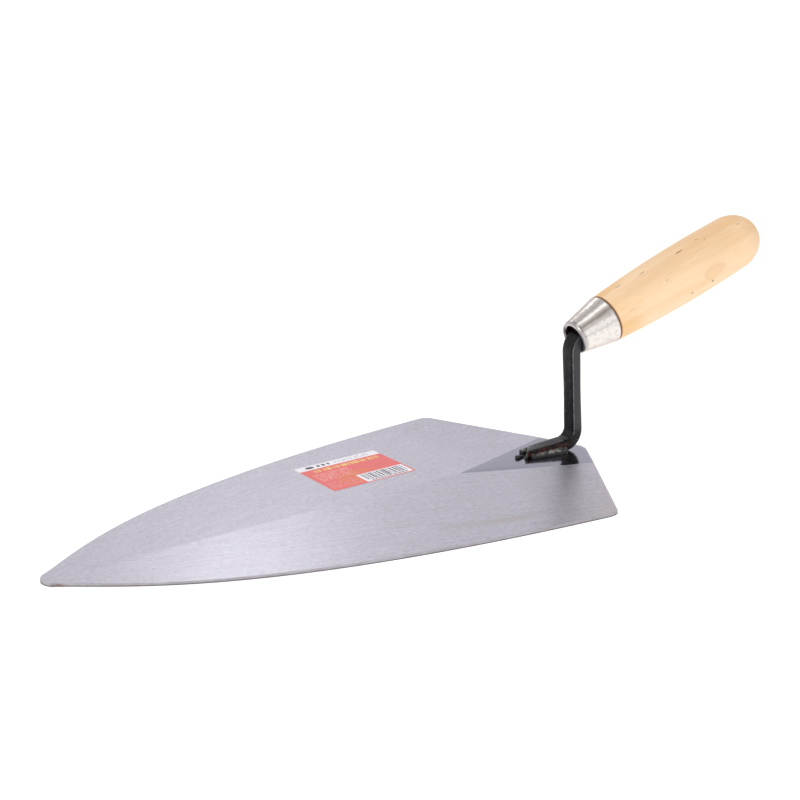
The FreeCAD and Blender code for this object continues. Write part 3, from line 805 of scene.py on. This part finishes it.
# Flecks in millimetres: place in X, Y and Z of the handle, width, length, and how dark they are.
FLECKS = ((-14.8, -4.4, 53.8, 0.32, 2.6, 0.95), (5.2, -14.7, 64.0, 0.5, 0.9, 0.6),
          (4.9, -14.6, 49.0, 0.45, 0.9, 0.5), (-15.3, -3.3, 67.6, 0.3, 1.2, 0.5),
          (-14.4, -6.0, 71.1, 0.25, 0.8, 0.4), (-14.5, -2.9, 28.1, 0.5, 1.8, 0.35),
          (-13.9, -0.9, 12.6, 0.5, 2.0, 0.35), (-8.6, -12.4, 36.2, 0.3, 1.0, 0.3),
          (-12.8, -7.8, 94.0, 0.4, 1.0, 0.3), (12.5, 7.5, 71.0, 0.4, 1.5, 0.7))
SWIRL = (0.1 * MM, 66.0 * MM)
WOOD_DARK = (0.80, 0.545, 0.315, 1)
WOOD_PALE = (0.90, 0.67, 0.44, 1)
WOOD_WARM = (0.80, 0.48, 0.22, 1)
WOOD_STAINED = (0.82, 0.50, 0.20, 1)
SWIRL_BROWN = (0.68, 0.40, 0.22, 1)
PORE_BROWN = (0.60, 0.34, 0.16, 1)
FLECK_BROWN = (0.12, 0.065, 0.035, 1)
SEAM_BROWN = (0.16, 0.06, 0.022, 1)


def pale_wood():
    """Straight-grained pale hardwood: soft bands, fine pores, a swirl and a few dark flecks."""
    material, root = new_material("pale_wood")
    place = along_handle(root)
    x, y, z = place.parts()
    warp = root.noise(root.vector(x * 40, y * 40, z * 9), 1.0, detail=3.0)
    swirl_x = (x - SWIRL[0]) / (5 * MM)
    swirl_z = (z - SWIRL[1]) / (10 * MM)
    swirl = (swirl_x * swirl_x + swirl_z * swirl_z).ramp(0.0, 1.0, 1.0, 0.0) * (y < 0)
    bent = warp * 1.5 + swirl * 1.6
    rings = root.noise(root.vector(x * 95 + bent, y * 95 + bent, z * 7), 1.0, detail=4.0, rough=0.6)
    pores = root.noise(root.vector(x * 1100, y * 1100, z * 45), 1.0, detail=3.0, rough=0.7)
    cloud = root.noise(root.vector(x * 60, y * 60, z * 18), 1.0, detail=4.0, rough=0.6, warp=0.5)
    color = rings.ramp(0.28, 0.72).tint(WOOD_DARK, WOOD_PALE)
    color = (cloud.ramp(0.50, 0.70) * 0.45).tint(color, WOOD_WARM)
    color = (swirl * rings.ramp(0.45, 0.6) * 0.5).tint(color, SWIRL_BROWN)
    near_joint = z.ramp(2 * MM, 22 * MM, 1.0, 0.0) * cloud.ramp(0.38, 0.62)
    color = (near_joint * 0.5).tint(color, WOOD_STAINED)
    color = (pores.ramp(0.56, 0.75) * 0.35).tint(color, PORE_BROWN)
    for fx, fy, fz, wide, long, depth in FLECKS:
        dx = (x - fx * MM) / (wide * MM)
        dy = (y - fy * MM) / (wide * MM)
        dz = (z - fz * MM) / (long * MM)
        away = dx * dx * 0.4 + dy * dy + dz * dz + (pores - 0.5) * 0.8
        color = away.ramp(0.5, 1.6, depth, 0.0).tint(color, FLECK_BROWN)
    seam = z.ramp(0.75 * MM, 1.5 * MM, 1.0, 0.0)
    color = (seam * 0.92).tint(color, SEAM_BROWN)
    rough = 0.46 + pores.ramp(0.4, 0.8, -0.03, 0.12)
    height = pores * 0.5 + rings * 0.5
    inputs = {"Base Color": color, "Roughness": rough, "Specular IOR Level": 0.12}
    finish_material(root, inputs, height, 0.00012, 0.35)
    return material


handle = turned("handle_turned", handle_profile(), pale_wood())
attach(handle, "root")
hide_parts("handle")


# ---- ferrule -------------------------------------------------------------------------------
# Tapered collar drawn from thin sheet and bright plated, its mouth rolled inwards to a bead.

FERRULE_FRONT = 9.3 * MM
FERRULE_REAR = 13.4 * MM
FERRULE_WALL = 0.9 * MM
LIP_BEAD = 1.4 * MM
PLATE_BRIGHT = (0.74, 0.705, 0.675, 1)
PLATE_HANDLED = (0.52, 0.47, 0.43, 1)
PLATE_PAINTED_DARK = (0.33, 0.26, 0.21, 1)
PLATE_MOUTH = (0.46, 0.44, 0.43, 1)
PLATE_REAR = (0.30, 0.20, 0.12, 1)
UPPER_DARK_REFLECTION = math.radians(168)
LOWER_DARK_REFLECTION = math.radians(138)
SHADED_SIDE_START = math.radians(66)


def ferrule_profile():
    """Closed section: outside from the rear, round the lip's bead, and back up the inside."""
    front = LIP_BEAD - FERRULE_LENGTH
    slope = (FERRULE_REAR - FERRULE_FRONT) / -front
    ease = 0.12 * MM
    profile = [(FERRULE_REAR - FERRULE_WALL, 0.0), (FERRULE_REAR - ease, 0.0), (FERRULE_REAR, -ease)]
    for step in range(1, 24):
        station = front * step / 24
        profile.append((FERRULE_REAR + slope * station, station))
    for step in range(0, 17):
        angle = math.pi * 1.15 * step / 16
        profile.append((FERRULE_FRONT - LIP_BEAD + LIP_BEAD * math.cos(angle),
                        front - LIP_BEAD * math.sin(angle)))
    profile.append((FERRULE_FRONT - FERRULE_WALL, front + LIP_BEAD))
    profile.append((FERRULE_REAR - FERRULE_WALL, 0.0))
    return profile


def bright_plate():
    """Bright nickel: faint draw lines along the taper, small dents and handling marks, with two
    painted dark reflection bands and painted shade round one side.
    """
    material, root = new_material("bright_plate")
    place = along_handle(root)
    x, y, z = place.parts()
    dents = root.noise(place, 150.0, detail=3.0, rough=0.5)
    lines = root.noise(root.vector(x * 1500, y * 1500, z * 60), 1.0, detail=2.0)
    grime = root.noise(place, 500.0, detail=4.0, rough=0.7)
    ragged = (root.noise(root.vector(x * 260, y * 260, z * 60), 1.0, detail=3.0) - 0.5) * 0.16
    angle = y.math("ARCTAN2", x) + ragged
    # Painted reflection and shade: two dark bands along the ferrule and a darker part round one side.
    painted_dark_bands = abs(angle + UPPER_DARK_REFLECTION + z * 5.5).ramp(0.01, 0.035, 0.35, 0.0)
    painted_dark_bands = painted_dark_bands + abs(angle + LOWER_DARK_REFLECTION).ramp(0.03, 0.11, 0.75, 0.0)
    painted_dark_bands = painted_dark_bands + (angle + SHADED_SIDE_START).ramp(0.0, 0.3, 0.0, 0.45)
    color = grime.ramp(0.45, 0.8).tint(PLATE_BRIGHT, PLATE_HANDLED)
    color = (painted_dark_bands.math("MINIMUM", 1.0) * 0.85).tint(color, PLATE_PAINTED_DARK)
    mouth = z.ramp(LIP_BEAD - FERRULE_LENGTH, 2.2 * LIP_BEAD - FERRULE_LENGTH, 1.0, 0.0)
    color = mouth.tint(color, PLATE_MOUTH)
    rear = z.ramp(-0.8 * MM, -0.1 * MM)
    color = (rear * 0.6).tint(color, PLATE_REAR)
    rough = 0.17 + grime.ramp(0.4, 0.8, 0.0, 0.12) + lines.ramp(0.4, 0.7, -0.02, 0.04)
    inputs = {"Base Color": color, "Metallic": 1.0, "Roughness": rough}
    finish_material(root, inputs, dents * 0.9 + lines * 0.1, 0.0004, 0.35)
    return material


ferrule = turned("ferrule_drawn", ferrule_profile(), bright_plate())
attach(ferrule, "root")
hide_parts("ferrule")


# ---- label ---------------------------------------------------------------------------------
# Printed paper sticker on the far half of the blade: a white strip, a coral field with rows of
# small marks that stand for its lettering, orange patches and a white panel of bars.

LABEL_LONG = 50.0 * MM
LABEL_WIDE = 40.0 * MM
LABEL_REAR = 0.1 * MM
LABEL_INNER = 13.2 * MM
LABEL_PAPER = 0.10 * MM
LABEL_LIFT = 0.01 * MM
WHITE = (0.88, 0.87, 0.92, 1)
CORAL = (0.76, 0.125, 0.125, 1)
CORAL_LIGHT = (0.82, 0.165, 0.15, 1)
PINK = (0.95, 0.62, 0.50, 1)
PINK_PALE = (0.95, 0.62, 0.55, 1)
YELLOW = (0.86, 0.58, 0.17, 1)
ORANGE = (0.74, 0.22, 0.05, 1)
INK = (0.05, 0.045, 0.06, 1)
CUT_PAPER = (0.80, 0.78, 0.77, 1)
# Areas of the print in millimetres from its front inner corner: first and last place along the
# label, then across it.
UPPER_ROWS = (3.0, 24.0, 14.5, 27.0)
LOWER_ROWS = (2.0, 19.5, 2.5, 12.5)
ORANGE_PATCHES = (10.0, 37.0, 1.5, 20.0)
TITLE = (7.0, 46.0, 28.2, 32.2)
STRIP_START = 33.7
BADGE_PLACE = (8.0, 36.8)
BADGE_RADII = (2.6, 1.5)
MAKER_ROW = (11.5, 20.0, 35.6, 38.0)
SMALL_ROWS = (23.0, 44.0, 35.2, 38.2)
BAR_PANEL = (21.0, 48.8, 1.0, 12.8)
BARS = (22.6, 47.2, 3.6, 12.0)
DIGIT_ROW = (24.0, 46.0, 1.7, 2.9)
PRINTED = (0.15, 49.85, 0.15, 39.85)


def inside(wire, low, high):
    """1 between two values."""
    return (wire > low) * (wire < high)


def within(u, v, area):
    """1 inside an area of the print."""
    return inside(u, area[0], area[1]) * inside(v, area[2], area[3])


def marks(root, u, v, pitch_u, pitch_v, gap_v, seed):
    """Rows of short uneven dashes: 1 on a dash."""
    row = (v / pitch_v).math("FLOOR")
    fill = (v / pitch_v).math("FRACT") > gap_v
    places = root.vector(u / pitch_u + row * 7.3, row * 3.1 + seed, 0.0)
    dash = root.node("ShaderNodeTexNoise", {}, {"Vector": places, "Scale": 1.0, "Detail": 1.0})
    return fill * (dash > 0.47)


def label_print():
    """Print of the sticker, drawn in millimetres from its front inner corner."""
    material, root = new_material("label_print")
    x, y, _ = root.node("ShaderNodeTexCoord", output=3).parts()
    u = (x + (LABEL_LONG - LABEL_REAR)) / MM
    v = (y - LABEL_INNER) / MM
    grain = root.noise(root.vector(u, v, 0.0), 0.6, detail=4.0)
    color = grain.ramp(0.3, 0.7).tint(CORAL, CORAL_LIGHT)
    upper = within(u, v, UPPER_ROWS) * marks(root, u, v, 1.1, 1.55, 0.5, 2.0)
    color = (upper * 0.55).tint(color, PINK)
    lower = within(u, v, LOWER_ROWS) * marks(root, u, v, 0.9, 1.3, 0.6, 9.0)
    color = (lower * 0.4).tint(color, PINK_PALE)
    patch = root.noise(root.vector(u * 0.16, v * 0.25, 4.0), 1.0, detail=2.0)
    patch = patch.ramp(0.42, 0.56) * within(u, v, ORANGE_PATCHES)
    color = (patch * 0.65).tint(color, ORANGE)
    title = within(u, v, TITLE) * marks(root, u, v, 1.0, 4.0, 0.12, 5.0)
    color = (title * 0.9).tint(color, YELLOW)
    color = (v > STRIP_START).tint(color, WHITE)
    badge_u = (u - BADGE_PLACE[0]) / BADGE_RADII[0]
    badge_v = (v - BADGE_PLACE[1]) / BADGE_RADII[1]
    badge = (badge_u * badge_u + badge_v * badge_v) < 1.0
    maker = within(u, v, MAKER_ROW) * marks(root, u, v, 1.6, 3.2, 0.0, 1.0)
    color = (badge + maker).math("MINIMUM", 1.0).tint(color, INK)
    small = within(u, v, SMALL_ROWS) * marks(root, u, v, 1.2, 1.1, 0.45, 3.0)
    color = (small * 0.55).tint(color, INK)
    color = within(u, v, BAR_PANEL).tint(color, WHITE)
    stripe = root.node("ShaderNodeTexNoise", {"noise_dimensions": "1D"},
                       {"W": u * 1.05, "Scale": 1.0, "Detail": 2.0})
    bars = (stripe > 0.51) * within(u, v, BARS)
    digits = within(u, v, DIGIT_ROW) * marks(root, u, v, 0.8, 6.0, 0.0, 6.0)
    color = (bars + digits).math("MINIMUM", 1.0).tint(color, INK)
    color = within(u, v, PRINTED).tint(CUT_PAPER, color)
    rough = 0.32 + grain.ramp(0.3, 0.7, -0.04, 0.08)
    inputs = {"Base Color": color, "Roughness": rough, "Specular IOR Level": 0.25}
    finish_material(root, inputs, grain, 0.00004, 0.4)
    return material


def paper_on_blade(name, material, columns=60, rows=48):
    """Thin sheet laid on the blade's top face, which is found by rays cast downwards."""
    steel_tree = BVHTree.FromObject(blade, bpy.context.evaluated_depsgraph_get())
    front = LABEL_REAR - LABEL_LONG
    verts = []
    for lift in (LABEL_PAPER, LABEL_LIFT):
        for row in range(rows + 1):
            for column in range(columns + 1):
                x = front + LABEL_LONG * column / columns
                y = LABEL_INNER + LABEL_WIDE * row / rows
                hit = steel_tree.ray_cast(Vector((x, y, 1.0)), Vector((0, 0, -1)))[0]
                verts.append((x, y, hit.z + lift))
    span = columns + 1
    under = span * (rows + 1)
    faces = []
    for row in range(rows):
        for column in range(columns):
            corner_highlight = row * span + column
            faces.append((corner_highlight, corner_highlight + 1, corner_highlight + 1 + span, corner_highlight + span))
            faces.append(tuple(under + spot for spot in
                               (corner_highlight + span, corner_highlight + 1 + span, corner_highlight + 1, corner_highlight)))
    loop = list(range(columns))
    loop += [row * span + columns for row in range(rows)]
    loop += [rows * span + column for column in range(columns, 0, -1)]
    loop += [row * span for row in range(rows, 0, -1)]
    for spot, after in zip(loop, loop[1:] + loop[:1]):
        faces.append((spot, under + spot, under + after, after))
    return mesh_object(name, verts, faces, material)


label = paper_on_blade("label_paper", label_print())
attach(label, "root")
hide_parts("label")
